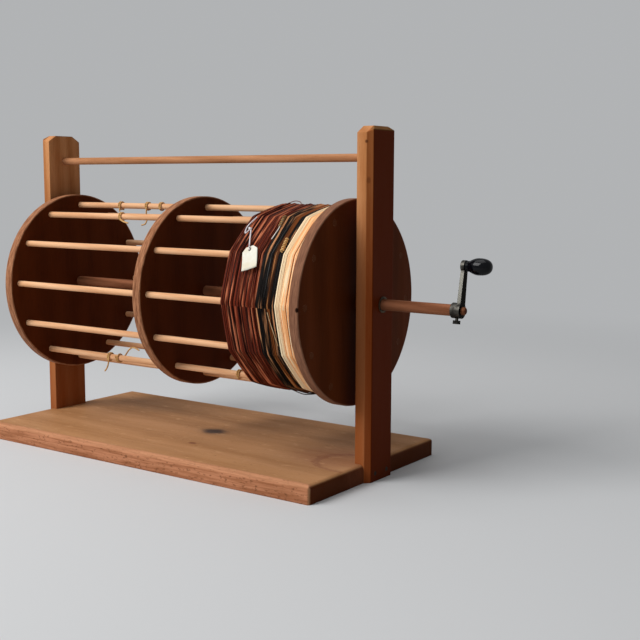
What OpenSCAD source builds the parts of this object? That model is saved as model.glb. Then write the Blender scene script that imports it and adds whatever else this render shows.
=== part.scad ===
/* [Drum] */
// Diameter of the three discs
disc_d = 280; // [240:1:320]
// Thickness of each disc
disc_thickness = 14; // [8:0.5:16]
// Clear width of each bay between two discs
bay_length = 259; // [200:1:320]
// Number of dowels in the drum
dowel_count = 12; // [10:1:14]
// Diameter of the drum's dowels
dowel_d = 9; // [6:0.5:11]
// Distance from the disc's edge to a dowel's axis
dowel_inset = 16.5; // [13:0.5:30]
// Angle of the first dowel, from the back
dowel_phase = 88; // [70:1:100]
// Gap between an end disc and its post
drum_side_gap = 16; // [8:1:30]
// Diameter of the spacer sleeves beside the end discs
spacer_d = 21; // [19:0.5:26]

/* [Base] */
// Width of the base board
base_width = 312; // [240:1:360]
// Thickness of the base board
base_thickness = 25; // [18:1:32]
// Radius along the base board's upper edges
base_edge_round = 7; // [2:0.5:12]
// Radius of the base board's upright corners
base_corner_round = 4; // [2:0.5:15]
// Clear height between the base board and the discs
drum_clearance = 73; // [40:1:110]

/* [Posts] */
// Thickness of a post, along the shaft
post_thickness = 21.5; // [18:0.5:34]
// Width of a post
post_width = 63.5; // [46:0.5:80]
// Depth that a post is let into the base board's end
post_let_in = 14; // [8:1:18]
// Width of the bevel on a post's outer upright edges
post_bevel = 7; // [2:0.5:9]
// How far the bevels on a post's front and back run in along its top
post_top_run = 15; // [4:0.5:18]
// How far those bevels run down
post_top_drop = 9; // [4:0.5:14]
// Width of the bevel on a post's outer upper edge
post_lip_bevel = 5; // [2:0.5:8]
// Height of a post above the rail
post_above_rail = 35; // [20:1:60]
// Shank diameter of the nails through a post's foot
nail_d = 3; // [2:0.1:4]
// Head diameter of those nails
nail_head_d = 6; // [5:0.1:8]
// Length of those nails
nail_length = 45; // [36:1:60]
// Distance between the two nails in a post
nail_spacing = 28.5; // [16:0.5:30]

/* [Rail] */
// Diameter of the top rail
rail_d = 11; // [8:0.5:16]
// Gap between the discs and the rail
rail_gap = 48; // [30:1:80]
// Depth of the rail's sockets in the posts
rail_socket_depth = 14; // [8:1:18]

/* [Shaft] */
// Diameter of the shaft
shaft_d = 15; // [13:0.5:16]
// Length of shaft that stands out of the left post
shaft_left_reach = 6; // [2:1:20]
// Diameter of the shaft's thinner end, in the crank
shaft_end_d = 10.4; // [8:0.2:12]
// Length of shaft that stands out of the crank
shaft_end_reach = 5; // [4:0.5:14]
// Outside diameter of the shaft bushings
bushing_d = 19; // [18:0.5:20]
// Diameter of a bushing's rim
bushing_rim_d = 21.5; // [20.5:0.5:26]
// Thickness of a bushing's rim
bushing_rim_t = 1.4; // [0.8:0.1:2.5]

/* [Crank] */
// Distance from the right post to the crank
crank_standoff = 105.5; // [60:0.5:140]
// Lean of the crank arm from upright, towards the back
crank_angle = 9; // [-180:1:180]
// Distance from the shaft's axis to the knob's axis
arm_length = 57; // [44:1:90]
// Thickness of the crank arm
arm_thickness = 5; // [3:0.5:6]
// Width of the crank arm at the hub
arm_root_width = 14; // [11:0.5:17]
// Width of the crank arm at the knob
arm_tip_width = 9; // [7:0.5:12]
// Diameter of the eye that holds the knob's pin
arm_eye_d = 15; // [12.5:0.5:20]
// Diameter of the crank's hub
hub_d = 20; // [18:0.5:28]
// Length of the crank's hub
hub_length = 13; // [13:0.5:24]
// Diameter of the thumb screw's shank
screw_d = 4; // [3:0.2:5]
// Length of the thumb screw's shank below the hub
screw_neck = 2.6; // [1.5:0.1:8]
// Diameter of the thumb screw's head
screw_head_d = 9.7; // [8:0.1:14]
// Thickness of the thumb screw's head
screw_head_t = 4.6; // [3:0.2:7]

/* [Knob] */
// Largest diameter of the knob
knob_d = 22; // [18:0.5:30]
// Length of the knob
knob_length = 30.5; // [24:0.5:45]
// Diameter of the knob's ferrule
ferrule_d = 14; // [12:0.5:17]
// Length of the knob's ferrule
ferrule_length = 4.5; // [4:0.5:10]
// Diameter of the knob's pin
knob_pin_d = 5; // [4:0.2:7]

/* [Line] */
// Diameter of the wound line's outer turns
line_d = 1.9; // [1.2:0.1:2.5]
// Gap from one turn to the next
line_gap = 0.5; // [0.45:0.05:1.5]
// Thickness of the turns under the outer layer
under_layer_t = 1; // [0.8:0.1:3]
// Turns of brown line
brown_turns = 24; // [16:1:24]
// Turns of black line
black_turns = 7; // [2:1:20]
// Turns of tan line
tan_turns = 3; // [2:1:10]
// Turns of the second black line
edge_black_turns = 3; // [2:1:10]
// Turns of cream line, beside the right disc
cream_turns = 12; // [2:1:20]

/* [Ties and tag] */
// Diameter of the tying cord
tie_d = 2.4; // [1.5:0.1:3]
// Width of the tag
tag_width = 23; // [18:0.5:30]
// Length of the tag
tag_length = 36; // [30:0.5:44]
// Thickness of the tag
tag_t = 0.6; // [0.4:0.1:1]
// Diameter of the tag's string
string_d = 1.2; // [0.8:0.1:1.5]

/* [Hidden] */
function dowel_name(number) = str("dowel_", number < 10 ? "0" : "", number);
tie_count = 7;
function tie_name(number) = str("tie_", number);
$fn = 64;

// Clearances: a turning fit, a glued round joint, a soft piece from its seat, a turning face from a fixed one
turning_gap = 0.06;
glue_gap = 0.05;
soft_gap = 0.25;
end_play = 0.4;
// How far a cut runs past the face that it starts from
past = 1;

wood_light = [0.85, 0.62, 0.42];
wood_mid = [0.62, 0.42, 0.27];
wood_dark = [0.36, 0.2, 0.12];
steel = [0.55, 0.55, 0.54];
black_paint = [0.06, 0.06, 0.07];
black_cord = [0.05, 0.05, 0.06];
white_cord = [0.95, 0.95, 0.93];

// Heights, from the base upwards
disc_r = disc_d / 2;
shaft_z = base_thickness + drum_clearance + disc_r;
rail_z = shaft_z + disc_r + rail_gap + rail_d / 2;
post_height = rail_z + rail_d / 2 + post_above_rail;

// Lengths along the shaft, from the middle disc outwards
disc_step = bay_length + disc_thickness;
drum_end_x = disc_step + disc_thickness / 2;
post_inner_x = drum_end_x + drum_side_gap;
post_outer_x = post_inner_x + post_thickness;
base_end_x = post_inner_x + post_let_in;
hub_x = post_outer_x + crank_standoff;
hub_end_x = hub_x + hub_length;
shaft_end_x = hub_end_x + shaft_end_reach;

dowel_r = dowel_d / 2;
dowel_circle_r = disc_r - dowel_inset;
dowel_step = 360 / dowel_count;

function dowel_angle(k) = dowel_phase + k * dowel_step;
function across_shaft(angle) = [0, cos(angle), sin(angle)];
function dowel_axis(k, x) = [x, 0, shaft_z] + dowel_circle_r * across_shaft(dowel_angle(k));

// A cylinder along X
module rod(x_from, x_to, d) {
    translate([x_from, 0, 0])
        rotate([0, 90, 0])
            cylinder(d = d, h = x_to - x_from);
}

// A bar along X with the outline drawn across Y and Z
module along_x(x_from, x_to) {
    translate([x_from, 0, 0])
        rotate([90, 0, 90])
            linear_extrude(x_to - x_from) children();
}

module on_shaft() {
    translate([0, 0, shaft_z]) children();
}

module on_dowel(k) {
    translate(dowel_axis(k, 0)) children();
}

module both_ends() {
    children();
    mirror([1, 0, 0]) children();
}

// A rectangle centred on X = 0 with its two upper corners rounded
module upper_rounded(w, h, r) {
    side = w / 2;
    polygon([[-side, 0], [side, 0], [side, h - r], [side - r, h], [r - side, h], [-side, h - r]]);
    for (s = [-1, 1]) translate([s * (side - r), h - r]) circle(r);
}

// A rectangle centred on the origin with its corners rounded
module corner_rounded(length, w, r) {
    for (s = [-1, 1], t = [-1, 1]) translate([s * (length / 2 - r), t * (w / 2 - r)]) circle(r);
    square([length, w - 2 * r], center = true);
    square([length - 2 * r, w], center = true);
}

// A bar across the base with the outline drawn across X and Z
module along_y(width) {
    translate([0, width / 2, 0])
        rotate([90, 0, 0])
            linear_extrude(width) children();
}

nail_z = base_thickness * 0.44;
nail_head_t = 1.2;

// The two nails of the right post, or the holes for them
module nail_pair(gap) {
    for (s = [-1, 1]) {
        translate([0, s * nail_spacing / 2, nail_z]) {
            rod(post_outer_x - nail_length - gap, post_outer_x, nail_d + 2 * gap);
            rod(post_outer_x - nail_head_t - gap, post_outer_x, nail_head_d + 2 * gap);
        }
    }
}

module base_board() {
    color(wood_mid)
    difference() {
        intersection() {
            along_x(-base_end_x, base_end_x)
                upper_rounded(base_width, base_thickness, base_edge_round);
            along_y(base_width)
                upper_rounded(2 * base_end_x, base_thickness, base_edge_round);
            linear_extrude(base_thickness)
                corner_rounded(2 * base_end_x, base_width, base_corner_round);
        }
        both_ends() {
            translate([post_inner_x, -post_width / 2, -past])
                cube([post_let_in + past, post_width, base_thickness + 2 * past]);
            nail_pair(glue_gap);
        }
    }
}

post_side = post_width / 2;
post_bevel_x = post_outer_x - post_bevel;
post_shoulder_z = post_height - post_top_drop;
post_lip_x = post_outer_x - post_lip_bevel;

// The right post, bevelled on its outer edges and round its top; the left one is its mirror image
module post() {
    difference() {
        intersection() {
            linear_extrude(post_height)
                polygon([
                    [post_inner_x, -post_side], [post_bevel_x, -post_side], [post_outer_x, post_bevel - post_side],
                    [post_outer_x, post_side - post_bevel], [post_bevel_x, post_side], [post_inner_x, post_side]
                ]);
            along_x(post_inner_x, post_outer_x)
                polygon([
                    [-post_side, 0], [post_side, 0], [post_side, post_shoulder_z], [post_side - post_top_run, post_height],
                    [post_top_run - post_side, post_height], [-post_side, post_shoulder_z]
                ]);
            along_y(post_width)
                polygon([
                    [post_inner_x, 0], [post_outer_x, 0], [post_outer_x, post_height - post_lip_bevel],
                    [post_lip_x, post_height], [post_inner_x, post_height]
                ]);
        }
        on_shaft() rod(post_inner_x - past, post_outer_x + past, bushing_d + 2 * glue_gap);
        translate([0, 0, rail_z])
            rod(post_inner_x - past, post_inner_x + rail_socket_depth, rail_d + 2 * glue_gap);
        nail_pair(glue_gap);
    }
}

module left_post() {
    color(wood_mid) mirror([1, 0, 0]) post();
}

module right_post() {
    color(wood_mid) post();
}

module top_rail() {
    rail_end_x = post_inner_x + rail_socket_depth;
    color(wood_light)
        translate([0, 0, rail_z]) rod(-rail_end_x, rail_end_x, rail_d);
}

module post_nails() {
    color(steel) both_ends() nail_pair(0);
}

// A metal sleeve with a rim on the post's outer face and a flared mouth
module bushing() {
    bore_d = shaft_d + 2 * turning_gap;
    mouth_d = (bushing_d + shaft_d) / 2;
    mouth_depth = 2.5;
    rim_x = post_outer_x + bushing_rim_t;
    on_shaft()
    difference() {
        union() {
            rod(post_inner_x, post_outer_x, bushing_d);
            rod(post_outer_x, rim_x, bushing_rim_d);
        }
        rod(post_inner_x - past, rim_x + past, bore_d);
        translate([rim_x - mouth_depth, 0, 0])
            rotate([0, 90, 0])
                cylinder(d1 = bore_d, d2 = mouth_d, h = mouth_depth);
    }
}

module left_bushing() {
    color(steel) mirror([1, 0, 0]) bushing();
}

module right_bushing() {
    color(steel) bushing();
}

// The wooden shaft, with a shoulder and a thinner, eased end for the crank
module shaft() {
    ease = 1.5;
    color(wood_dark)
    on_shaft() {
        rod(-post_outer_x - shaft_left_reach, hub_x, shaft_d);
        rod(hub_x, shaft_end_x - ease, shaft_end_d);
        translate([shaft_end_x - ease, 0, 0])
            rotate([0, 90, 0])
                cylinder(d1 = shaft_end_d, d2 = shaft_end_d - 2 * ease, h = ease);
    }
}

// A disc centred at x, with eased rim edges, bored for the shaft and the dowels
module disc(x) {
    ease = 0.8;
    half = disc_thickness / 2;
    color(wood_dark)
    difference() {
        on_shaft()
            translate([x, 0, 0])
                rotate([0, 90, 0])
                    rotate_extrude($fn = 128)
                        polygon([
                            [0, -half], [disc_r - ease, -half], [disc_r, ease - half],
                            [disc_r, half - ease], [disc_r - ease, half], [0, half]
                        ]);
        on_shaft() rod(x - half - past, x + half + past, shaft_d + 2 * glue_gap);
        for (k = [0 : dowel_count - 1])
            on_dowel(k) rod(x - half - past, x + half + past, dowel_d + 2 * glue_gap);
    }
}

module left_disc() {
    disc(-disc_step);
}

module middle_disc() {
    disc(0);
}

module right_disc() {
    disc(disc_step);
}

// A sleeve between an end disc and its post
module spacer() {
    on_shaft()
    difference() {
        rod(drum_end_x, post_inner_x - end_play, spacer_d);
        rod(drum_end_x - past, post_inner_x + past, shaft_d + 2 * glue_gap);
    }
}

module left_spacer() {
    color(wood_light) mirror([1, 0, 0]) spacer();
}

module right_spacer() {
    color(wood_light) spacer();
}

// One dowel through all three discs, numbered from 1
module dowel(number) {
    color(wood_light) on_dowel(number - 1) rod(-drum_end_x, drum_end_x, dowel_d);
}

function unit(v) = v / norm(v);
function last(list) = len(list) - 1;
function heading(route, i) = unit(route[min(i + 1, last(route))] - route[max(i - 1, 0)]);

function square_to(out, ahead) = unit(out - (out * ahead) * ahead);

// A direction across each point of a route, carried from point to point so that a tube doesn't twist
function carried(route) = [
    for (
        i = 0, out = unit(cross([1, 0, 0], heading(route, 0)));
        i < len(route);
        out = square_to(out, heading(route, min(i + 1, last(route)))), i = i + 1
    )
        out
];

// One ring of a tube
function tube_ring(centre, ahead, out, r, sides) =
    let (across = cross(ahead, out))
    [for (s = [0 : sides - 1]) centre + r * (cos(360 * s / sides) * out + sin(360 * s / sides) * across)];

// A closed tube of triangles along a route that doesn't start along X
module tube(route, d, sides = 6) {
    outs = carried(route);
    points = [for (i = [0 : last(route)]) each tube_ring(route[i], heading(route, i), outs[i], d / 2, sides)];
    walls = [
        for (i = [0 : last(route) - 1], s = [0 : sides - 1])
            let (
                a = i * sides + s,
                b = i * sides + (s + 1) % sides
            )
            each [[a, a + sides, b], [b, a + sides, b + sides]]
    ];
    end = last(route) * sides;
    first_cap = [for (s = [1 : sides - 2]) [0, s, s + 1]];
    last_cap = [for (s = [1 : sides - 2]) [end, end + s + 1, end + s]];
    polyhedron(points = points, faces = concat(walls, first_cap, last_cap), convexity = 10);
}

// Least gap of a tube to its own next turn, between points one turn apart
function turn_gap(route, per_turn, d) =
    min([for (i = [1 : last(route) - 1 - per_turn]) norm(route[i + per_turn] - route[i])]) - d;

// Distances of the wound line from the dowels' surfaces
under_layer_from = 0.2;
under_layer_to = under_layer_from + under_layer_t;
line_away = under_layer_to + soft_gap + line_d / 2;
line_top = line_away + line_d / 2;
line_corner = (dowel_r + line_away) / cos(dowel_step / 2);

// Places of the windings, from the right disc's inner face towards the middle disc
winding_gap = 0.5;
line_pitch = line_d + line_gap;
winding_edge_x = disc_step - disc_thickness / 2 - winding_gap;
cream_x = winding_edge_x - line_d / 2 - cream_turns * line_pitch;
edge_black_x = cream_x - edge_black_turns * line_pitch;
tan_x = edge_black_x - tan_turns * line_pitch;
black_x = tan_x - black_turns * line_pitch;
brown_x = black_x - brown_turns * line_pitch;

// The flat of line between dowel k and the next: a place along X, along the flat and away from the dowels
function on_flat(k, x, along, away) =
    let (angle = dowel_angle(k) + dowel_step / 2)
    [x, 0, shaft_z]
        + (dowel_circle_r * cos(dowel_step / 2) + dowel_r + away) * across_shaft(angle)
        + along * across_shaft(angle + 90);

// Each line starts and ends in the middle of the flat under the drum, this far short of the next line's end
line_end_gap = 1.5;
line_end_flat = 6;

// One line wound over the dowels: it bends only where it passes a dowel
function winding_route(x_from, turns) =
    let (bends = turns * dowel_count)
    concat(
        [on_flat(line_end_flat, x_from, line_end_gap, line_away)],
        [
            for (i = [1 : bends])
                dowel_axis(line_end_flat + i, x_from + line_pitch * (i - 0.5) / dowel_count)
                    + line_corner * across_shaft(dowel_angle(line_end_flat + i))
        ],
        [on_flat(line_end_flat, x_from + turns * line_pitch, -line_end_gap, line_away)]
    );

module winding(x_from, turns) {
    route = winding_route(x_from, turns);
    echo(least_gap_between_turns = turn_gap(route, dowel_count, line_d));
    tube(route, line_d);
}

// Outline of line drawn tight round all the dowels, at a distance from their surfaces
module round_the_dowels(away) {
    bend = dowel_step / 2;
    polygon([
        for (k = [0 : dowel_count - 1], turn = [-bend, -bend / 3, bend / 3, bend])
            let (point = dowel_axis(k, 0) + (dowel_r + away) * across_shaft(dowel_angle(k) + turn))
            [point[1], point[2]]
    ]);
}

// The turns under the outer layer, as one plain band round the dowels
module under_layer() {
    color([0.35, 0.2, 0.13])
        along_x(brown_x - line_d / 2, winding_edge_x)
            difference() {
                round_the_dowels(under_layer_to);
                round_the_dowels(under_layer_from);
            }
}

module brown_line() {
    color([0.38, 0.16, 0.1]) winding(brown_x, brown_turns);
}

module black_line() {
    color(black_cord) winding(black_x, black_turns);
}

module tan_line() {
    color([0.55, 0.36, 0.2]) winding(tan_x, tan_turns);
}

module edge_black_line() {
    color(black_cord) winding(edge_black_x, edge_black_turns);
}

module cream_line() {
    color([0.93, 0.78, 0.6]) winding(cream_x, cream_turns);
}

// Each tie: its dowel, its place along X, the angle where its wrap starts, its first tail's end
// from there, and its last tail's points from the wrap's end
tie_places = [
    [0, -174, 0, [0, 1, -7], [[0, -1, -9]]],
    [0, -116, 0, [0, 1, -6], [[0, -1, -10], [1, -1, -20], [0, -4, -27], [-5, -7, -29]]],
    [0, -87, 0, [0, 1, -4], [[0, -1, -4]]],
    [1, -110, 0, [0, 1, -5], [[2, -1, -4], [9, -2, -7], [18, -2, -9]]],
    [5, -113, 180, [0, -1, 4], [[4, 1, 5], [10, 1, 12], [16, 1, 16], [22, 1, 17], [32, 1, 14]]],
    [5, -133, 0, [0, 1, -5], [[0, -1, -8], [-3, -1, -16], [-9, 0, -22]]],
    [5, brown_x - 24, 0, [0, 1, -4], [[0, -1, -4]]]
];
tie_turns = 1.5;
tie_gap = 0.7;
tie_rings_per_turn = 10;

// A cord wrapped round a dowel, with both tails running off it
function tie_route(place) =
    let (
        r = (dowel_r + soft_gap + tie_d / 2) / cos(180 / tie_rings_per_turn),
        axis = dowel_axis(place[0], place[1]),
        wrap = [
            for (i = [0 : tie_turns * tie_rings_per_turn])
                axis
                    + [(tie_d + tie_gap) * i / tie_rings_per_turn, 0, 0]
                    + r * across_shaft(place[2] + 360 * i / tie_rings_per_turn)
        ]
    )
    concat([wrap[0] + place[3]], wrap, [for (step = place[4]) wrap[last(wrap)] + step]);

module tie(number) {
    route = tie_route(tie_places[number - 1]);
    echo(least_gap_between_turns = turn_gap(route, tie_rings_per_turn, tie_d));
    color([0.8, 0.68, 0.48]) tube(route, tie_d);
}

// The tag lies on the brown line where it passes the third dowel, turned a little in its own plane
tag_dowel = 2;
tag_x = brown_x + 38.5;
tag_turn = 21.5;
tag_down = 8.3;
tag_seat = line_corner + line_d / 2 + soft_gap;
tag_hole_d = 4;
tag_hole_inset = 5;
tag_shoulder = 6;
tag_hole_up = tag_length / 2 - tag_hole_inset;

// A place in the tag's plane: across the tag, up the tag and out from its back
function on_tag(across, up, out) =
    let (
        angle = dowel_angle(tag_dowel),
        upward = across_shaft(angle - 90)
    )
    dowel_axis(tag_dowel, tag_x)
        + (tag_seat + out) * across_shaft(angle)
        + (across * cos(tag_turn) - up * sin(tag_turn)) * [1, 0, 0]
        + (across * sin(tag_turn) + up * cos(tag_turn) - tag_down) * upward;

module tag() {
    side = tag_width / 2;
    end = tag_length / 2;
    color([0.95, 0.93, 0.85])
        translate(on_tag(0, 0, 0))
            rotate([dowel_angle(tag_dowel) - 90, 0, 0])
                rotate([0, 0, tag_turn])
                    linear_extrude(tag_t)
                        difference() {
                            polygon([
                                [-side, -end], [side, -end], [side, end - tag_shoulder], [side - tag_shoulder, end],
                                [tag_shoulder - side, end], [-side, end - tag_shoulder]
                            ]);
                            translate([0, tag_hole_up]) circle(d = tag_hole_d);
                        }
}

// The string hangs from a loop round the first brown turns, and the tag swings there
string_flat = 1;
string_away = line_top + soft_gap + string_d / 2;
string_top = on_flat(string_flat, brown_x + 14, -7, string_away);
string_front = tag_t + soft_gap + string_d / 2;
echo(tag_swing_point = string_top);

module tag_string() {
    color(white_cord)
        tube(
            [
                string_top,
                on_tag(0, tag_hole_up + 6, string_front),
                on_tag(0, tag_hole_up + 2.5, string_front),
                on_tag(0, tag_hole_up + 0.6, string_front - 0.4),
                on_tag(0, tag_hole_up, tag_t / 2),
                on_tag(0, tag_hole_up, 0)
            ],
            string_d
        );
}

module string_loop() {
    places = [[12.6, -6], [10.5, -1], [9, 1], [7.3, -1], [6, -6], [5.5, -12], [8, -21], [11, -29]];
    color(white_cord)
        tube([for (place = places) on_flat(string_flat, brown_x + place[0], place[1], string_away)], string_d);
}

// The crank's outline across the shaft: hub, tapered arm and eye
module crank_outline() {
    polygon([
        [-arm_root_width / 2, 0], [arm_root_width / 2, 0],
        [arm_tip_width / 2, arm_length], [-arm_tip_width / 2, arm_length]
    ]);
    circle(d = hub_d);
    translate([0, arm_length]) circle(d = arm_eye_d);
}

// Turns children from upright to the crank's lean, about the shaft
module on_crank() {
    on_shaft() rotate([-crank_angle, 0, 0]) children();
}

module on_knob_axis() {
    on_crank() translate([0, 0, arm_length]) children();
}

arm_x = hub_end_x - arm_thickness;
screw_x = hub_x + (hub_length - arm_thickness) * 0.8;
screw_tip_r = shaft_end_d / 2 + 0.1;
screw_head_r = hub_d / 2 + screw_neck;

module crank_arm() {
    color(steel)
    difference() {
        on_crank() {
            rod(hub_x, hub_end_x, hub_d);
            along_x(arm_x, hub_end_x) crank_outline();
        }
        on_crank() rod(hub_x - past, hub_end_x + past, shaft_end_d + 2 * glue_gap);
        on_knob_axis() rod(arm_x - past, hub_end_x + past, knob_pin_d + 2 * glue_gap);
        on_crank()
            translate([screw_x, 0, -hub_d]) cylinder(d = screw_d + 2 * turning_gap, h = hub_d);
    }
}

knob_gap = 0.4;
ferrule_x = hub_end_x + knob_gap;
knob_x = ferrule_x + ferrule_length;
pin_end_x = knob_x + knob_length * 0.6;

// The pin is riveted over at the back of the arm's eye
module knob_pin() {
    rivet_t = 1.6;
    rivet_d = knob_pin_d + 4;
    color(steel)
    on_knob_axis() {
        rod(arm_x - rivet_t, arm_x, rivet_d);
        rod(arm_x, pin_end_x, knob_pin_d);
    }
}

module knob_ferrule() {
    color(black_paint)
    on_knob_axis()
    difference() {
        rod(ferrule_x, knob_x, ferrule_d);
        rod(ferrule_x - past, knob_x + past, knob_pin_d + 2 * turning_gap);
    }
}

// Half outline of the knob: it swells fast from the ferrule and rounds off bluntly past its fattest place
knob_fattest = 0.42;
knob_bluntness = 2.6;
function knob_r(t) =
    t < knob_fattest
        ? ferrule_d / 2 + (knob_d - ferrule_d) / 2 * sin(90 * t / knob_fattest)
        : knob_d / 2 * pow(1 - pow((t - knob_fattest) / (1 - knob_fattest), knob_bluntness), 1 / knob_bluntness);

module crank_knob() {
    steps = 20;
    outline = [for (i = [0 : steps]) [knob_r(i / steps), knob_length * i / steps]];
    color(black_paint)
    on_knob_axis()
    difference() {
        translate([knob_x, 0, 0])
            rotate([0, 90, 0])
                rotate_extrude() polygon(concat([[0, 0]], outline));
        rod(knob_x - past, pin_end_x + knob_gap, knob_pin_d + 2 * turning_gap);
    }
}

// The screw that holds the crank on the shaft, with a gripped round head
module thumb_screw() {
    grips = 16;
    grip_d = 1;
    color(steel)
    on_crank()
        translate([screw_x, 0, 0])
            rotate([180, 0, 0]) {
                translate([0, 0, screw_tip_r])
                    cylinder(d = screw_d, h = screw_head_r - screw_tip_r);
                translate([0, 0, screw_head_r])
                    difference() {
                        cylinder(d = screw_head_d, h = screw_head_t);
                        for (i = [0 : grips - 1])
                            rotate([0, 0, 360 * i / grips])
                                translate([screw_head_d / 2, 0, -past])
                                    cylinder(d = grip_d, h = screw_head_t + 2 * past, $fn = 16);
                    }
            }
}

base_board();
left_post();
right_post();
top_rail();
post_nails();
left_bushing();
right_bushing();
shaft();
left_disc();
middle_disc();
right_disc();
left_spacer();
right_spacer();
for (number = [1 : dowel_count])
    dowel(number);
under_layer();
brown_line();
black_line();
tan_line();
edge_black_line();
cream_line();
for (number = [1 : tie_count])
    tie(number);
string_loop();
tag_string();
tag();
crank_arm();
knob_pin();
knob_ferrule();
crank_knob();
thumb_screw();
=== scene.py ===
import random
from math import cos, pi, radians, sin

import bmesh
import bpy
from mathutils import Matrix, Vector


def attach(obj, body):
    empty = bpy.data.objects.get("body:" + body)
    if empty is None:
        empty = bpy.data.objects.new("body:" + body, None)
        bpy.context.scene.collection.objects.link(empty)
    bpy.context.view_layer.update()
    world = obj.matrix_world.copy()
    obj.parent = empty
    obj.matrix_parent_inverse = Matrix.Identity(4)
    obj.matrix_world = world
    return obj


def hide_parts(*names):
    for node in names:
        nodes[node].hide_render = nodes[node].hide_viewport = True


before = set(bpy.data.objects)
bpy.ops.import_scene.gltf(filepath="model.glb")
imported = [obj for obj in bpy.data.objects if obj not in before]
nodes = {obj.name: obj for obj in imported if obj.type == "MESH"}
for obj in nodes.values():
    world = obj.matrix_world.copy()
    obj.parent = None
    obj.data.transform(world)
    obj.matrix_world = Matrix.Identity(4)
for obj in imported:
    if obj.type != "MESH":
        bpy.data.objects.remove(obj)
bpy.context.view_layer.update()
MM = 0.001


# The camera, fitted to edges in the photograph: degrees, millimetres, and its focal length in pixels

YAW, PITCH, ROLL = 35.257, -7.336, 0.173
CAMERA_PLACE = (1066.5, -1203.7, 399.4)
FOCAL_LENGTH = 1071.85
PICTURE_WIDTH = 640
SENSOR_WIDTH = 36


def place_camera():
    yaw, pitch, roll = radians(YAW), radians(PITCH), radians(ROLL)
    ahead = Vector((-sin(yaw) * cos(pitch), cos(yaw) * cos(pitch), sin(pitch)))
    side = ahead.cross(Vector((0, 0, 1))).normalized()
    up = side.cross(ahead)
    turned_side = side * cos(roll) + up * sin(roll)
    turned_up = up * cos(roll) - side * sin(roll)
    camera = bpy.data.objects.new("camera", bpy.data.cameras.new("camera"))
    camera.data.sensor_width = SENSOR_WIDTH
    camera.data.lens = SENSOR_WIDTH * FOCAL_LENGTH / PICTURE_WIDTH
    turn = Matrix((turned_side, turned_up, -ahead)).transposed().to_4x4()
    camera.matrix_world = Matrix.Translation(Vector(CAMERA_PLACE) * MM) @ turn
    bpy.context.scene.collection.objects.link(camera)
    bpy.context.scene.camera = camera


place_camera()


# The drum's sizes in millimetres and degrees, as in the part's source

SHAFT_Z = 238
DOWEL_CIRCLE_R = 123.5
DOWEL_R = 4.5
DOWEL_COUNT = 12
DOWEL_STEP = 30
DOWEL_PHASE = 88
HALF_FLAT = DOWEL_CIRCLE_R * sin(radians(DOWEL_STEP / 2))
BROWN_X = 146.95


def dowel_angle(k):
    return radians(DOWEL_PHASE + DOWEL_STEP * k)


def across_shaft(angle):
    return Vector((0, cos(angle), sin(angle)))


def dowel_axis(k, x):
    return Vector((x, 0, SHAFT_Z)) + DOWEL_CIRCLE_R * across_shaft(dowel_angle(k))


def on_flat(k, x, along, away):
    """A place over the flat of line between dowel k and the next."""
    half = radians(DOWEL_STEP / 2)
    angle = dowel_angle(k) + half
    reach = DOWEL_CIRCLE_R * cos(half) + DOWEL_R + away
    return Vector((x, 0, SHAFT_Z)) + reach * across_shaft(angle) + along * across_shaft(angle + pi / 2)


# Cords

def show(name, data):
    piece = bpy.data.objects.new(name, data)
    bpy.context.scene.collection.objects.link(piece)
    return piece


def smooth_path(points, spacing):
    """A dense path through the points, on smooth spans from each point to the next."""
    ends = [2 * points[0] - points[1]] + points + [2 * points[-1] - points[-2]]
    path = []
    for before, start, end, after in zip(ends, ends[1:], ends[2:], ends[3:]):
        steps = max(2, round((end - start).length / spacing))
        for i in range(steps):
            t = i / steps
            path.append(
                0.5 * (2 * start + t * (end - before)
                       + t * t * (2 * before - 5 * start + 4 * end - after)
                       + t * t * t * (3 * start - before - 3 * end + after))
            )
    return path + [points[-1]]


def open_curve(name, path, tilts=None):
    """A curve of one open spline along a path in millimetres."""
    curve = bpy.data.curves.new(name, "CURVE")
    curve.dimensions = "3D"
    curve.twist_mode = "MINIMUM"
    curve.use_fill_caps = True
    spline = curve.splines.new("POLY")
    spline.points.add(len(path) - 1)
    for point, place in zip(spline.points, path):
        point.co = (*(place * MM), 1)
    if tilts:
        for point, tilt in zip(spline.points, tilts):
            point.tilt = tilt
    return curve


def curve_surface(name, curve):
    """A mesh piece of a curve's surface."""
    draft = show(name + "_draft", curve)
    mesh = bpy.data.meshes.new_from_object(draft.evaluated_get(bpy.context.evaluated_depsgraph_get()))
    mesh.name = name
    bpy.data.objects.remove(draft)
    mesh.shade_smooth()
    return show(name, mesh)


def round_cord(name, path, thickness):
    """A smooth round line."""
    curve = open_curve(name, path)
    curve.bevel_depth = thickness / 2 * MM
    curve.bevel_resolution = 2
    return curve_surface(name, curve)


PLIES = 3
LOBE_POINTS = 6
HOLLOW = 0.2


def twisted_cord(name, path, thickness, lay):
    """A laid cord: a section with one lobe for each ply, turned once in each lay length along the path."""
    section = bpy.data.curves.new(name + "_section", "CURVE")
    section.dimensions = "2D"
    outline = section.splines.new("POLY")
    count = PLIES * LOBE_POINTS
    outline.points.add(count - 1)
    outline.use_cyclic_u = True
    for i, point in enumerate(outline.points):
        angle = 2 * pi * i / count
        reach = thickness / 2 * (1 - HOLLOW + HOLLOW * abs(cos(PLIES * angle / 2))) * MM
        point.co = (reach * cos(angle), reach * sin(angle), 0, 1)
    section_piece = show(name + "_section", section)
    gone = 0
    tilts = []
    for i, place in enumerate(path):
        gone += (place - path[max(i - 1, 0)]).length
        tilts.append(2 * pi * gone / lay)
    curve = open_curve(name, path, tilts)
    curve.bevel_mode = "OBJECT"
    curve.bevel_object = section_piece
    piece = curve_surface(name, curve)
    bpy.data.objects.remove(section_piece)
    return piece


# The windings

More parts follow.
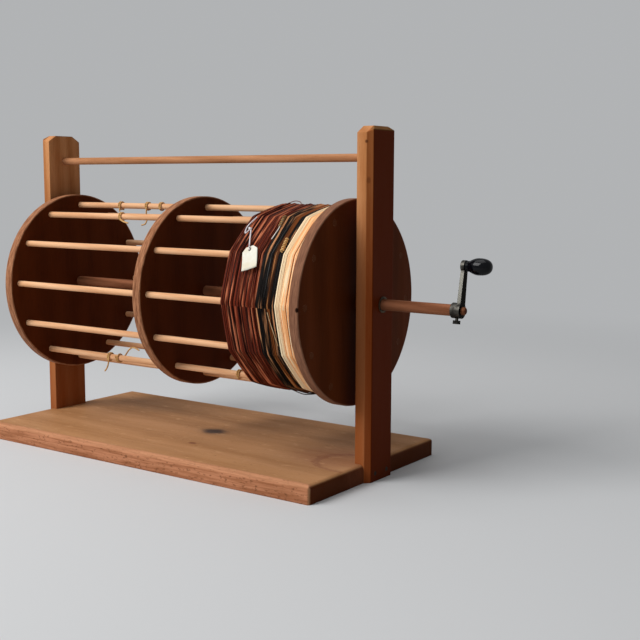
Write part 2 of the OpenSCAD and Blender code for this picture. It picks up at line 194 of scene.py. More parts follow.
LINE_THICKNESS = 1.4
LINE_AWAY = 2.0
SLACK = 0.9
END_FLAT, END_ALONG = 6, 1.5
UNEVEN = 0.16
GAP, GAP_CHANCE = 0.55, 0.24
BUNCH_LIFT, TURN_LIFT = 0.8, 0.2
STRAY_LEAST, STRAY_MOST = 1.8, 4.5
CROSSING, CROSSING_LIFT = 0.7, 1.25
WOBBLE = 0.3


def wound_path(x_from, x_to, turns, seed, wanderers):
    """Turns bunched unevenly side by side, each bending only over the dowels; wanderers stray over others."""
    chance = random.Random(seed)
    steps = [
        1 + chance.uniform(-UNEVEN, UNEVEN) + (GAP if chance.random() < GAP_CHANCE else 0)
        for _ in range(turns)
    ]
    places = [x_from]
    for step in steps:
        places.append(places[-1] + step * (x_to - x_from) / sum(steps))
    bunch = chance.uniform(0, 2 * pi)
    lifts = []
    for _ in range(turns + 1):
        lifts.append(BUNCH_LIFT * max(0, sin(bunch)) + chance.uniform(0, TURN_LIFT))
        bunch += chance.uniform(0.7, 1.5)
    strays = [0] * turns
    for t in chance.sample(range(2, turns - 2), wanderers):
        strays[t] = chance.choice((-1, 1)) * chance.uniform(STRAY_LEAST, STRAY_MOST)
    over_dowels = []
    for i in range(turns * DOWEL_COUNT):
        turn, passed = divmod(i, DOWEL_COUNT)
        share = (passed + 0.5) / DOWEL_COUNT
        stray = strays[turn] * sin(2 * pi * share)
        x = places[turn] + share * (places[turn + 1] - places[turn]) + stray + chance.uniform(-WOBBLE, WOBBLE)
        lift = lifts[turn] + share * (lifts[turn + 1] - lifts[turn])
        over = CROSSING_LIFT if abs(stray) > CROSSING else 0
        over_dowels.append((min(max(x, x_from), x_to), LINE_AWAY + lift + over))
    path = [on_flat(END_FLAT, places[0], END_ALONG, LINE_AWAY)]
    for i, (x, away) in enumerate(over_dowels):
        k = END_FLAT + 1 + i
        for bend in (-DOWEL_STEP / 2, 0, DOWEL_STEP / 2):
            path.append(dowel_axis(k, x) + (DOWEL_R + away) * across_shaft(dowel_angle(k) + radians(bend)))
        if i + 1 < len(over_dowels):
            next_x, next_away = over_dowels[i + 1]
            for share in (0.2, 0.5, 0.8):
                bulge = SLACK * 4 * share * (1 - share)
                path.append(on_flat(
                    k, x + share * (next_x - x), (2 * share - 1) * HALF_FLAT,
                    away + share * (next_away - away) + bulge,
                ))
    path.append(on_flat(END_FLAT, places[-1], -END_ALONG, LINE_AWAY))
    return path


def wind(node, x_from, x_to, turns, seed, wanderers=0, thickness=LINE_THICKNESS):
    path = wound_path(x_from, x_to, turns, seed, wanderers)
    piece = round_cord("wound_" + node, path, thickness)
    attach(piece, "drum")
    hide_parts(node)
    return piece


brown_winding = wind("brown_line", 146.6, 204.2, 40, 3, wanderers=5)
black_winding = wind("black_line", 205.0, 220.9, 11, 5, wanderers=2)
tan_winding = wind("tan_line", 221.9, 228.1, 4, 7)
edge_black_winding = wind("edge_black_line", 229.1, 235.3, 4, 11)
cream_winding = wind("cream_line", 236.4, 264.6, 19, 13, wanderers=2, thickness=1.6)


# The ties: dowel, place along it, the angle where the wrap starts, and a tail at each end of the wrap

TIE_THICKNESS = 2.4
TIE_CLEAR = 0.15
TIE_PITCH = 3.1
TIE_LAY = 9
WRAP_STEPS = 10
TIE_PLACES = [
    (0, -174, 0, (0, 1, -7), [(0, -1, -9)]),
    (0, -116, 0, (0, 1, -6), [(0, -1, -10), (1, -1, -20), (0, -4, -27), (-5, -7, -29)]),
    (0, -87, 0, (0, 1, -4), [(0, -1, -4)]),
    (1, -110, 0, (0, 1, -5), [(2, -1, -4), (9, -2, -7), (18, -2, -9)]),
    (5, -113, 180, (0, -1, 4), [(4, 1, 5), (10, 1, 12), (16, 1, 16), (22, 1, 17), (32, 1, 14)]),
    (5, -133, 0, (0, 1, -5), [(0, -1, -8), (-3, -1, -16), (-9, 0, -22)]),
    (5, BROWN_X - 24, 0, (0, 1, -4), [(0, -1, -4)]),
]


def tie_points(dowel, x, start, first_tail, last_tail):
    """One and a half turns round a dowel, with a tail at each end."""
    reach = DOWEL_R + TIE_CLEAR + TIE_THICKNESS / 2
    wrap = [
        dowel_axis(dowel, x + TIE_PITCH * i / WRAP_STEPS)
        + reach * across_shaft(radians(start + 360 / WRAP_STEPS * i))
        for i in range(WRAP_STEPS * 3 // 2 + 1)
    ]
    return [wrap[0] + Vector(first_tail)] + wrap + [wrap[-1] + Vector(step) for step in last_tail]


ties = []
for number, place in enumerate(TIE_PLACES, 1):
    path = smooth_path(tie_points(*place), 0.7)
    tie = twisted_cord(f"cord_tie_{number}", path, TIE_THICKNESS, TIE_LAY)
    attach(tie, "drum")
    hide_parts(f"tie_{number}")
    ties.append(tie)


# The tag's place, its string and the loop that holds it

STRING_THICKNESS = 2.1
STRING_LAY = 4
STRING_AWAY = 5.0
CAD_LINE_AWAY, CAD_LINE_R = 2.4, 0.95
SEAT_GAP = 0.25
TAG_DOWEL = 2
TAG_X = BROWN_X + 38.5
TAG_TURN = radians(21.5)
TAG_DOWN = 8.3
TAG_SEAT = (DOWEL_R + CAD_LINE_AWAY) / cos(radians(DOWEL_STEP / 2)) + CAD_LINE_R + SEAT_GAP
TAG_WIDTH, TAG_LENGTH, TAG_T = 23, 36, 0.6
TAG_SHOULDER, TAG_HOLE_UP, TAG_HOLE_R = 6, 13, 2


def on_tag(across, up, out):
    """A place in the tag's plane: across it, up it and out from its back."""
    angle = dowel_angle(TAG_DOWEL)
    return (
        dowel_axis(TAG_DOWEL, TAG_X)
        + (TAG_SEAT + out) * across_shaft(angle)
        + (across * cos(TAG_TURN) - up * sin(TAG_TURN)) * Vector((1, 0, 0))
        + (across * sin(TAG_TURN) + up * cos(TAG_TURN) - TAG_DOWN) * across_shaft(angle - pi / 2)
    )


def cotton_string(name, points, body, node):
    path = smooth_path(points, 0.5)
    piece = twisted_cord(name, path, STRING_THICKNESS, STRING_LAY)
    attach(piece, body)
    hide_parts(node)
    return piece


string_front = TAG_T + SEAT_GAP + STRING_THICKNESS / 2
string_places = [
    on_flat(1, BROWN_X + 14, -7, STRING_AWAY),
    on_tag(0, TAG_HOLE_UP + 6, string_front),
    on_tag(0, TAG_HOLE_UP + 2.5, string_front),
    on_tag(0, TAG_HOLE_UP + 0.6, string_front - 0.4),
    on_tag(0, TAG_HOLE_UP, TAG_T / 2),
    on_tag(0, TAG_HOLE_UP, 0),
]
tag_string = cotton_string("tag_cotton", string_places, "tag", "tag_string")
loop_places = [
    on_flat(1, BROWN_X + x, along, STRING_AWAY)
    for x, along in ((12.6, -6), (10.5, -1), (9, 1), (7.3, -1), (6, -6), (5.5, -12), (8, -21), (11, -29))
]
string_loop = cotton_string("loop_cotton", loop_places, "drum", "string_loop")


# Loose ends and knots over the windings, through places on the flats of line

def loose_line(name, places, thickness):
    path = smooth_path([on_flat(*place) for place in places], 1)
    piece = round_cord(name, path, thickness)
    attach(piece, "drum")
    return piece


pale_line = loose_line(
    "loose_pale_line",
    [(3, 225.0, -25, 4.4), (3, 227.4, -12, 4.7), (3, 231.1, 4, 4.8), (3, 234.7, 20, 4.5)],
    1.0,
)
white_end = loose_line(
    "loose_white_end",
    [(1, 205.0, 10, 4.7), (1, 205.6, 1, 4.9), (1, 206.1, -8, 5.0), (1, 205.8, -16, 5.3), (1, 204.8, -25, 5.3)],
    1.5,
)
top_loop = loose_line(
    "loose_top_loop",
    [(0, 160, -20, 3.9), (0, 165, -27, 6.0), (0, 174, -30, 8.0), (0, 183, -29, 6.5), (0, 188, -22, 3.9)],
    1.2,
)
slack_loop = loose_line(
    "slack_black_loop",
    [(5, 207, -28, 3.9), (5, 210, -14, 6.5), (5, 214, 2, 8.5), (5, 217, 16, 6.5), (5, 219, 28, 3.9)],
    1.3,
)
second_slack_loop = loose_line(
    "second_slack_loop",
    [(5, 213, -29, 3.9), (5, 216, -14, 5.5), (5, 219, 0, 6.5), (5, 222, 14, 5.5), (5, 225, 27, 3.9)],
    1.3,
)

KNOT_CORD = 1.9
KNOT_STEPS = 14


def whipped_knot(name, start_place, end_place, turns):
    """An end of line bound with close turns of cord from one place to another."""
    start, end = on_flat(*start_place), on_flat(*end_place)
    along = (end - start).normalized()
    side = along.cross(Vector((1, 0, 0))).normalized()
    over = along.cross(side)
    count = KNOT_STEPS * turns
    path = []
    for i in range(count + 1):
        angle = 2 * pi * turns * i / count
        swell = 0.8 * KNOT_CORD * (1 + 0.4 * sin(angle / 2))
        path.append(start.lerp(end, i / count) + swell * (cos(angle) * side + sin(angle) * over))
    piece = twisted_cord(name, path, KNOT_CORD, 4 * KNOT_CORD)
    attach(piece, "drum")
    return piece


end_knot = whipped_knot("beige_end_knot", (1, 206.2, -13, 5.4), (1, 203.8, -33, 5.2), 8)
tan_knot = whipped_knot("tan_end_knot", (1, 233.8, 31, 5.2), (1, 230.4, 9, 5.4), 9)
string_knot = whipped_knot("string_knot", (1, BROWN_X + 12, -8, 5.4), (1, BROWN_X + 14.5, -4.5, 5.4), 2)


# Pieces that replace plain solids

def finish_mesh(name, mesh, body, *replaced):
    """Closes a bmesh into a piece on a body, in place of CAD nodes."""
    bmesh.ops.remove_doubles(mesh, verts=mesh.verts, dist=1e-6)
    bmesh.ops.recalc_face_normals(mesh, faces=mesh.faces)
    data = bpy.data.meshes.new(name)
    mesh.to_mesh(data)
    mesh.free()
    data.shade_smooth()
    piece = show(name, data)
    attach(piece, body)
    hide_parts(*replaced)
    return piece


BAND_FROM, BAND_TO, BAND_PITCH = 146.0, 265.5, 1.4
BAND_INSIDE, BAND_HOLLOW, BAND_RIDGE = 0.25, 0.8, 1.15


def under_band():
    """The inner turns: a band drawn tight round the dowels, ridged by the turns in it."""
    wide = BAND_TO - BAND_FROM
    rows = round(2 * wide / BAND_PITCH)
    stations = [(BAND_FROM, BAND_INSIDE)]
    for i in range(rows + 1):
        stations.append((BAND_FROM + wide * i / rows, BAND_RIDGE if i % 2 else BAND_HOLLOW))
    stations += [(BAND_TO, BAND_INSIDE), (BAND_FROM, BAND_INSIDE)]
    mesh = bmesh.new()
    edges = []
    for x, away in stations:
        ring = []
        for k in range(DOWEL_COUNT):
            for bend in (-15, -5, 5, 15):
                out = across_shaft(dowel_angle(k) + radians(bend))
                ring.append(mesh.verts.new((dowel_axis(k, x) + (DOWEL_R + away) * out) * MM))
        new_edges = [mesh.edges.new(pair) for pair in zip(ring, ring[1:] + ring[:1])]
        if edges:
            bmesh.ops.bridge_loops(mesh, edges=edges + new_edges)
        edges = new_edges
    return finish_mesh("under_band", mesh, "drum", "under_layer")


ARM_LENGTH, ARM_LEAN = 57, radians(9)


def about_knob(profile, steps):
    """Turns a profile of (place along X, radius) about the knob's axis."""
    centre = Vector((0, ARM_LENGTH * sin(ARM_LEAN), SHAFT_Z + ARM_LENGTH * cos(ARM_LEAN))) * MM
    mesh = bmesh.new()
    points = [mesh.verts.new(centre + Vector((x, 0, r)) * MM) for x, r in profile]
    edges = [mesh.edges.new(pair) for pair in zip(points, points[1:])]
    bmesh.ops.spin(
        mesh, geom=points + edges, cent=centre, axis=(1, 0, 0), angle=2 * pi, steps=steps, use_merge=True,
    )
    return mesh


FERRULE_X = 436.4
FERRULE_R = 7
FERRULE_STEPS = (
    (0, 2.6), (0, 6.2), (0.4, 6.9), (1.5, 6.9), (1.8, 6.4),
    (2.3, 6.4), (2.6, 6.9), (4, 6.9), (4.5, 6.3), (4.5, 2.6),
)
KNOB_X = 440.9
KNOB_LENGTH = 30.5
KNOB_R = 11
KNOB_BORE_R = 2.6
FATTEST = 0.42
BLUNTNESS = 2.6


def turned_knob():
    """The knob: it swells fast from the ferrule and rounds off bluntly past its fattest place."""
    profile = [(KNOB_X, KNOB_BORE_R), (KNOB_X, FERRULE_R - 0.8), (KNOB_X + 0.4, FERRULE_R)]
    for i in range(1, 11):
        t = i / 10
        radius = FERRULE_R + (KNOB_R - FERRULE_R) * sin(pi / 2 * t)
        profile.append((KNOB_X + KNOB_LENGTH * FATTEST * t, radius))
    for i in range(1, 19):
        t = sin(pi / 2 * i / 18)
        radius = KNOB_R * max(1 - t ** BLUNTNESS, 0) ** (1 / BLUNTNESS)
        profile.append((KNOB_X + KNOB_LENGTH * (FATTEST + (1 - FATTEST) * t), radius))
    return finish_mesh("turned_knob", about_knob(profile, 56), "knob", "crank_knob")


def turned_ferrule():
    """The ferrule: a ring with rolled edges and a groove."""
    profile = [(FERRULE_X + along, radius) for along, radius in FERRULE_STEPS]
    return finish_mesh("turned_ferrule", about_knob(profile, 48), "knob", "knob_ferrule")


FOOT_LIFT, CORNER_LIFT = 0.9, 0.5


def paper_tag():
    """The tag: cut shoulders, a punched hole and corners that lift a little off the line."""
    side, end = TAG_WIDTH / 2, TAG_LENGTH / 2
    corners = [
        (-side, -end), (side, -end), (side, end - TAG_SHOULDER),
        (side - TAG_SHOULDER, end), (TAG_SHOULDER - side, end), (-side, end - TAG_SHOULDER),
    ]
    mesh = bmesh.new()
    rim = [mesh.verts.new((x, y, 0)) for x, y in corners]
    rim_edges = [mesh.edges.new(pair) for pair in zip(rim, rim[1:] + rim[:1])]
    bmesh.ops.subdivide_edges(mesh, edges=rim_edges, cuts=5)
    rim_edges = list(mesh.edges)
    hole = bmesh.ops.create_circle(mesh, segments=36, radius=TAG_HOLE_R)["verts"]
    bmesh.ops.translate(mesh, verts=hole, vec=(0, TAG_HOLE_UP, 0))
    hole_edges = [e for e in mesh.edges if e not in set(rim_edges)]
    bmesh.ops.bridge_loops(mesh, edges=rim_edges + hole_edges)
    spokes = [e for e in mesh.edges if e not in set(rim_edges) and e not in set(hole_edges)]
    bmesh.ops.subdivide_edges(mesh, edges=spokes, cuts=6, use_grid_fill=True)
    for v in mesh.verts:
        x, y = v.co.x, v.co.y
        down = max(0, -y) / end
        v.co = on_tag(x, y, FOOT_LIFT * down ** 2 + CORNER_LIFT * (x / side) ** 2 * down) * MM
    piece = finish_mesh("paper_tag", mesh, "tag", "tag")
    card = piece.modifiers.new("card", "SOLIDIFY")
    card.thickness = TAG_T * MM
    card.offset = 1
    return piece


band = under_band()
knob = turned_knob()
ferrule = turned_ferrule()
tag = paper_tag()


# Shader parts

def linear(r, g, b):
    """A colour given as it looks, from 0 to 255, as a shader takes it."""
    return tuple(c / 3294.6 if c <= 10 else ((c / 255 + 0.055) / 1.055) ** 2.4 for c in (r, g, b)) + (1,)


def connect(tree, sockets, values):
    """Fills sockets, each with a value or another node's output."""
    for name, value in values.items():
        if isinstance(value, bpy.types.NodeSocket):
            tree.links.new(value, sockets[name])
        else:
            sockets[name].default_value = value


def add(tree, kind, inputs=None, **settings):
    """A shader node with its settings and inputs."""
    made = tree.nodes.new("ShaderNode" + kind)
    for name, value in settings.items():
        setattr(made, name, value)
    connect(tree, made.inputs, inputs or {})
    return made


def calc(tree, operation, a, b=0.0, clamp=False):
    return add(tree, "Math", {0: a, 1: b}, operation=operation, use_clamp=clamp).outputs[0]


def times(tree, a, b):
    return calc(tree, "MULTIPLY", a, b)


def plus(tree, a, b):
    return calc(tree, "ADD", a, b)


def minus(tree, a, b):
    return calc(tree, "SUBTRACT", a, b)


def vector_calc(tree, operation, a, b):
    return add(tree, "VectorMath", {0: a, 1: b}, operation=operation).outputs


def smooth_step(tree, value, low, high):
    """0 below low, 1 above high; low may be the higher, which turns it round."""
    flip = low > high
    return add(
        tree, "MapRange",
        {"Value": value, "From Min": min(low, high), "From Max": max(low, high),
         "To Min": 1.0 if flip else 0.0, "To Max": 0.0 if flip else 1.0},
        interpolation_type="SMOOTHSTEP",
    ).outputs[0]


def spread(tree, value, low, high):
    """A value from 0 to 1, laid over another range."""
    return add(tree, "MapRange", {"Value": value, "To Min": low, "To Max": high}).outputs[0]


def mix(tree, factor, a, b, blend="MIX"):
    made = add(tree, "Mix", {0: factor, 6: a, 7: b}, data_type="RGBA", blend_type=blend)
    return made.outputs[2]


def tint(tree, colour, tone, mask, strength):
    """A colour that passes into a tone where the mask is."""
    return mix(tree, times(tree, mask, strength), colour, linear(*tone))


def noise(tree, vector, scale, detail=3.0, roughness=0.5, distortion=0.0):
    return add(
        tree, "TexNoise",
        {"Vector": vector, "Scale": scale, "Detail": detail, "Roughness": roughness, "Distortion": distortion},
    ).outputs[0]


def stretch(tree, vector, scale, place=(0, 0, 0)):
    return add(tree, "Mapping", {"Vector": vector, "Scale": scale, "Location": place}).outputs[0]


def split(tree, vector):
    return add(tree, "SeparateXYZ", {0: vector}).outputs


def face_normal(tree):
    """The way a face looks, on its piece's own axes."""
    return add(tree, "TexCoord").outputs["Normal"]


def group(name, inputs, outputs):
    """A new shader group with its sockets; returns it with its input's and output's nodes."""
    tree = bpy.data.node_groups.new(name, "ShaderNodeTree")
    for label, kind, value in inputs:
        socket = tree.interface.new_socket(name=label, in_out="INPUT", socket_type="NodeSocket" + kind)
        if value is not None:
            socket.default_value = value
    for label, kind in outputs:
        tree.interface.new_socket(name=label, in_out="OUTPUT", socket_type="NodeSocket" + kind)
    return tree, tree.nodes.new("NodeGroupInput").outputs, tree.nodes.new("NodeGroupOutput").inputs


def place_group(tree, made, inputs):
    """Puts a shader group into a material with its own values; returns its outputs."""
    return add(tree, "Group", inputs, node_tree=made).outputs


def make_wood_grain():
    """Fibres, broad figure and pores along the first axis of a vector in metres."""
    tree, given, result = group(
        "wood_grain",
        [("Vector", "Vector", None), ("Pale", "Color", (0.6, 0.4, 0.2, 1)), ("Dark", "Color", (0.3, 0.15, 0.07, 1)),
         ("Figure", "Float", 0.4), ("Ring Width", "Float", 0.02)],
        [("Color", "Color"), ("Roughness", "Float"), ("Height", "Float")],
    )
    here = given["Vector"]
    fibres = noise(tree, stretch(tree, here, (28, 850, 850)), 1.0, 4.0, 0.6)
    broad = noise(tree, stretch(tree, here, (5, 45, 45)), 1.0, 3.0, 0.55, 0.6)
    pores = noise(tree, stretch(tree, here, (60, 1900, 1900), (3, 1, 2)), 1.0, 2.0)
    pore = smooth_step(tree, pores, 0.62, 0.72)
    per_metre = calc(tree, "DIVIDE", 1.0, given["Ring Width"])
    drawn_out = stretch(tree, here, (0.08, 1, 1))
    rings_at = add(tree, "VectorMath", {0: drawn_out, "Scale": per_metre}, operation="SCALE").outputs[0]
    rings = add(
        tree, "TexWave",
        {"Vector": rings_at, "Scale": 0.31, "Distortion": 5.0, "Detail": 3.0, "Detail Scale": 0.6},
        wave_type="BANDS", bands_direction="DIAGONAL",
    ).outputs[1]
    tone = times(tree, rings, given["Figure"])
    tone = plus(tree, tone, times(tree, fibres, 0.55))
    tone = plus(tree, tone, times(tree, broad, 0.5))
    colour = mix(tree, smooth_step(tree, tone, 0.3, 1.05), given["Pale"], given["Dark"])
    connect(tree, result, {
        "Color": mix(tree, times(tree, pore, 0.35), colour, given["Dark"], "MULTIPLY"),
        "Roughness": spread(tree, broad, 0.42, 0.66),
        "Height": minus(tree, fibres, times(tree, pore, 0.5)),
    })
    return tree


def make_handling():
    """Scuffs and dark marks of use, as two masks over a vector in metres."""
    tree, given, result = group(
        "handling",
        [("Vector", "Vector", None), ("Amount", "Float", 0.5)],
        [("Dirt", "Float"), ("Scuff", "Float")],
    )
    patches = noise(tree, given["Vector"], 32.0, 5.0, 0.62, 0.4)
    flecks = noise(tree, given["Vector"], 210.0, 3.0, 0.6)
    flecked = times(tree, patches, plus(tree, flecks, 0.5))
    edge = minus(tree, 0.78, times(tree, given["Amount"], 0.3))
    connect(tree, result, {
        "Dirt": calc(tree, "MULTIPLY", minus(tree, patches, edge), 5.0, True),
        "Scuff": calc(tree, "MULTIPLY", minus(tree, flecked, edge), 4.0, True),
    })
    return tree


def make_strand_shade():
    """Tones of line wound about the shaft: one for each strand, and streaks along it."""
    tree, given, result = group(
        "strand_shade", [("Vector", "Vector", None)], [("Strand", "Float"), ("Streak", "Float")])
    x, y, z = split(tree, given["Vector"])
    turn = calc(tree, "ARCTAN2", minus(tree, z, SHAFT_Z * MM), y)

    def unrolled(along, around):
        return add(tree, "CombineXYZ", {0: times(tree, x, along), 1: times(tree, turn, around)}).outputs[0]

    connect(tree, result, {
        "Strand": smooth_step(tree, noise(tree, unrolled(520.0, 0.4), 1.0, 1.0), 0.36, 0.62),
        "Streak": noise(tree, unrolled(230.0, 1.6), 1.0, 2.0, 0.5),
    })
    return tree


wood_grain = make_wood_grain()
handling = make_handling()
strand_shade = make_strand_shade()


def new_material(name):
    """An empty material: its tree, its shader's inputs and the object coordinates."""
    material = bpy.data.materials.new(name)
    material.use_nodes = True
    tree = material.node_tree
    shader = tree.nodes["Principled BSDF"]
    here = add(tree, "TexCoord").outputs["Object"]
    return material, tree, shader.inputs, here


def bump(tree, height, strength, distance, edge=0):
    """Fine relief, over edges rounded to a radius in millimetres."""
    inputs = {"Height": height, "Strength": strength, "Distance": distance}
    if edge:
        inputs["Normal"] = add(tree, "Bevel", {"Radius": edge * MM}, samples=6).outputs[0]
    return add(tree, "Bump", inputs).outputs[0]


# Wood

GRAIN_ORDER = {"x": (0, 1, 2), "z": (2, 0, 1)}


def wood(name, along, pale, dark, figure, ring_width, dirt, paint=None, edge=0):
    """A wood finish with its grain along an axis; paint adds marks of its own to the colour."""
    material, tree, shader, here = new_material(name)
    parts = split(tree, here)
    grain_at = add(tree, "CombineXYZ", {i: parts[j] for i, j in enumerate(GRAIN_ORDER[along])}).outputs[0]
    grain = place_group(tree, wood_grain, {
        "Vector": grain_at, "Pale": linear(*pale), "Dark": linear(*dark), "Figure": figure, "Ring Width": ring_width,
    })
    marks = place_group(tree, handling, {"Vector": here, "Amount": dirt})
    colour = tint(tree, grain["Color"], [0.55 * c for c in dark], marks["Dirt"], 0.55)
    if paint:
        colour = paint(tree, colour, parts, here)
    connect(tree, shader, {
        "Base Color": colour, "Roughness": grain["Roughness"], "Specular IOR Level": 0.05,
        "Specular Tint": linear(*dark), "Normal": bump(tree, grain["Height"], 0.25, 0.0003, edge),
    })
    return material


def ellipse(tree, parts, axes, centre, radii):
    """Distance from a place on a face, 1 at an ellipse of these half-widths, in millimetres."""
    squares = []
    for axis, at, half in zip(axes, centre, radii):
        off = calc(tree, "DIVIDE", minus(tree, parts[axis], at * MM), half * MM)
        squares.append(times(tree, off, off))
    return calc(tree, "SQRT", plus(tree, *squares))


# Marks on the board: centre and half-widths in millimetres, raggedness, where the mark fades, strength and tone
KNOT_CENTRE, KNOT_RADII = (20.5, -1), (26, 21)
BOARD_STAINS_AND_SHADE = (
    (KNOT_CENTRE, KNOT_RADII, 0.5, (1.7, 0.75), 0.35, (112, 82, 62)),
    (KNOT_CENTRE, KNOT_RADII, 0.5, (1.2, 0.55), 0.9, (58, 46, 44)),
    ((43.4, -74.5), (8, 5), 0.0, (1.2, 0.4), 0.75, (116, 58, 40)),
    ((262, -20), (90, 70), 0.7, (1.4, 0.7), 0.35, (142, 84, 60)),
    # a painted shade over the back left of the board
    ((-170, 90), (150, 60), 0.8, (1.5, 0.6), 0.3, (112, 84, 62)),
)


def base_marks(tree, colour, parts, here):
    """The board's dark knot, spot, stains, ring, scuffs and dents, a painted shade over its back left, its worn
    front with a painted highlight along its top edge, and its darker ends, which are painted shade with a painted
    highlight on their front corners.
    """
    x, y, z = parts
    rough = noise(tree, stretch(tree, here, (1, 2.2, 1)), 60.0, 4.0, 0.6)
    streaks = noise(tree, stretch(tree, here, (14, 300, 300)), 1.0, 4.0, 0.65)
    scratches = noise(tree, stretch(tree, here, (190, 420, 420), (5, 2, 1)), 1.0, 2.0, 0.5)
    front = plus(tree, times(tree, y, -1.0), times(tree, rough, 0.004))
    worn = mix(tree, smooth_step(tree, streaks, 0.38, 0.64), linear(194, 130, 98), linear(144, 85, 58))
    worn = tint(tree, worn, (84, 40, 28), smooth_step(tree, scratches, 0.59, 0.69), 0.8)
    colour = mix(tree, times(tree, smooth_step(tree, front, 0.1475, 0.1545), 0.75), colour, worn)
    # a painted highlight along the top of the front edge
    arris_highlight = times(tree, smooth_step(tree, front, 0.1475, 0.1535), smooth_step(tree, z, 0.018, 0.0225))
    colour = tint(tree, colour, (202, 150, 114), arris_highlight, 0.35)
    low = plus(tree, z, times(tree, rough, 0.010))
    colour = tint(tree, colour, (120, 66, 42), smooth_step(tree, low, 0.015, 0.004), 0.35)
    # painted shade on the board's ends
    end = smooth_step(tree, calc(tree, "ABSOLUTE", x), 0.3068, 0.3094)
    colour = tint(tree, colour, (74, 29, 4), end, 0.975)
    # a painted highlight on the rounded front corners of the ends
    corner = times(tree, end, smooth_step(tree, front, 0.1540, 0.1570))
    colour = tint(tree, colour, (200, 150, 110), corner, 0.6)
    for centre, radii, ragged, fade, strength, tone in BOARD_STAINS_AND_SHADE:
        away = plus(tree, ellipse(tree, parts, (0, 1), centre, radii), times(tree, rough, ragged))
        colour = tint(tree, colour, tone, smooth_step(tree, away, *fade), strength)
    top = smooth_step(tree, z, 0.0235, 0.0245)
    ring = plus(tree, ellipse(tree, parts, (0, 1), (300, -34), (58, 46)), times(tree, rough, 0.6))
    ring = smooth_step(tree, calc(tree, "ABSOLUTE", minus(tree, ring, 1.3)), 0.16, 0.03)
    colour = tint(tree, colour, (124, 66, 44), times(tree, ring, top), 0.4)
    scuffs = noise(tree, stretch(tree, here, (34, 80, 80), (2, 7, 4)), 1.0, 5.0, 0.68)
    scuffs = times(tree, smooth_step(tree, scuffs, 0.56, 0.70), top)
    colour = tint(tree, colour, (212, 166, 122), scuffs, 0.5)
    dents = noise(tree, stretch(tree, here, (120, 260, 260), (1, 3, 8)), 1.0, 3.0, 0.6)
    dents = times(tree, smooth_step(tree, dents, 0.64, 0.74), top)
    return tint(tree, colour, (112, 70, 44), dents, 0.55)


# Dark spots on the post's front: place, half-widths in millimetres and strength
POST_SPOTS = (((310.0, 451.5), (2.0, 2.4), 0.8), ((312.8, 402), (2.4, 4.6), 0.4))


def post_marks(tree, colour, parts, here):
    """The post's darkening towards its foot, its darker bevels and outer face, and two spots near its top; the
    darker side bevels and outer face are painted shade.
    """
    x, y, z = parts
    out = calc(tree, "ABSOLUTE", x)
    colour = tint(tree, colour, (136, 62, 22), smooth_step(tree, z, 0.44, 0.24), 0.62)
    # painted shade on the side bevels and the outer face
    colour = mix(tree, smooth_step(tree, out, 0.3103, 0.3113), colour, linear(225, 196, 173), "MULTIPLY")
    colour = tint(tree, colour, (86, 30, 4), smooth_step(tree, out, 0.3164, 0.3174), 0.985)
    lip = times(tree, smooth_step(tree, z, 0.4655, 0.4675), smooth_step(tree, out, 0.3110, 0.3130))
    colour = tint(tree, colour, (112, 84, 44), lip, 0.7)
    front = smooth_step(tree, y, -0.0270, -0.0282)
    for centre, radii, strength in POST_SPOTS:
        spot = smooth_step(tree, ellipse(tree, parts, (0, 2), centre, radii), 1.25, 0.5)
        colour = tint(tree, colour, (74, 36, 22), times(tree, spot, front), strength)
    return colour


def disc_marks(tree, colour, parts, here):
    """The disc's paler, worn rim, with fine cross grain; the right disc's is grimier and has a small chip."""
    x, y, z = parts
    up = minus(tree, z, SHAFT_Z * MM)
    reach = calc(tree, "SQRT", plus(tree, times(tree, up, up), times(tree, y, y)))
    rim_grain = noise(tree, stretch(tree, here, (900, 60, 60)), 1.0, 4.0, 0.6)
    worn = mix(tree, smooth_step(tree, rim_grain, 0.34, 0.66), linear(180, 126, 92), linear(118, 74, 50))
    nicks = smooth_step(tree, noise(tree, here, 240.0, 3.0, 0.6), 0.66, 0.72)
    worn = tint(tree, worn, (70, 40, 28), nicks, 0.6)
    worn = tint(tree, worn, (112, 80, 66), smooth_step(tree, x, 0.2, 0.25), 0.6)
    chip = smooth_step(tree, ellipse(tree, parts, (0, 2), (278.8, 241), (2.6, 3.4)), 1.2, 0.6)
    worn = mix(tree, times(tree, chip, smooth_step(tree, y, -0.130, -0.136)), worn, linear(34, 18, 12))
    return mix(tree, smooth_step(tree, reach, 0.1372, 0.1394), colour, worn)


def dowel_ends(tree, colour, parts, here):
    """The ends of the dowels, stained with the discs, and the ends of the shaft, darkened as painted shade."""
    facing = split(tree, face_normal(tree))[0]
    end = smooth_step(tree, calc(tree, "ABSOLUTE", facing), 0.85, 0.95)
    return tint(tree, colour, (80, 36, 15), end, 0.97)


base_wood = wood("base_wood", "x", (190, 140, 97), (164, 116, 75), 0.22, 0.03, 0.3, base_marks, edge=3)
post_wood = wood("post_wood", "z", (206, 146, 98), (168, 106, 60), 0.3, 0.016, 0.3, post_marks, edge=2.5)
disc_wood = wood("disc_wood", "z", (92, 42, 16), (70, 30, 10), 0.2, 0.03, 0.3, disc_marks, edge=1.5)
dowel_wood = wood("dowel_wood", "x", (236, 188, 146), (208, 150, 106), 0.25, 0.008, 0.22, dowel_ends)
rail_wood = wood("rail_wood", "x", (190, 136, 98), (156, 104, 68), 0.25, 0.008, 0.3)
# the shaft's ends take the dark end tone as painted shade
shaft_wood = wood("shaft_wood", "x", (150, 97, 69), (108, 65, 43), 0.35, 0.008, 0.4, dowel_ends)


# Metal and enamel

# Reflection tints: plain, and dimmed for the painted shade on outer faces
WHITE, SHADED_SIDE_GLANCE = (255, 255, 255), (206, 204, 201)


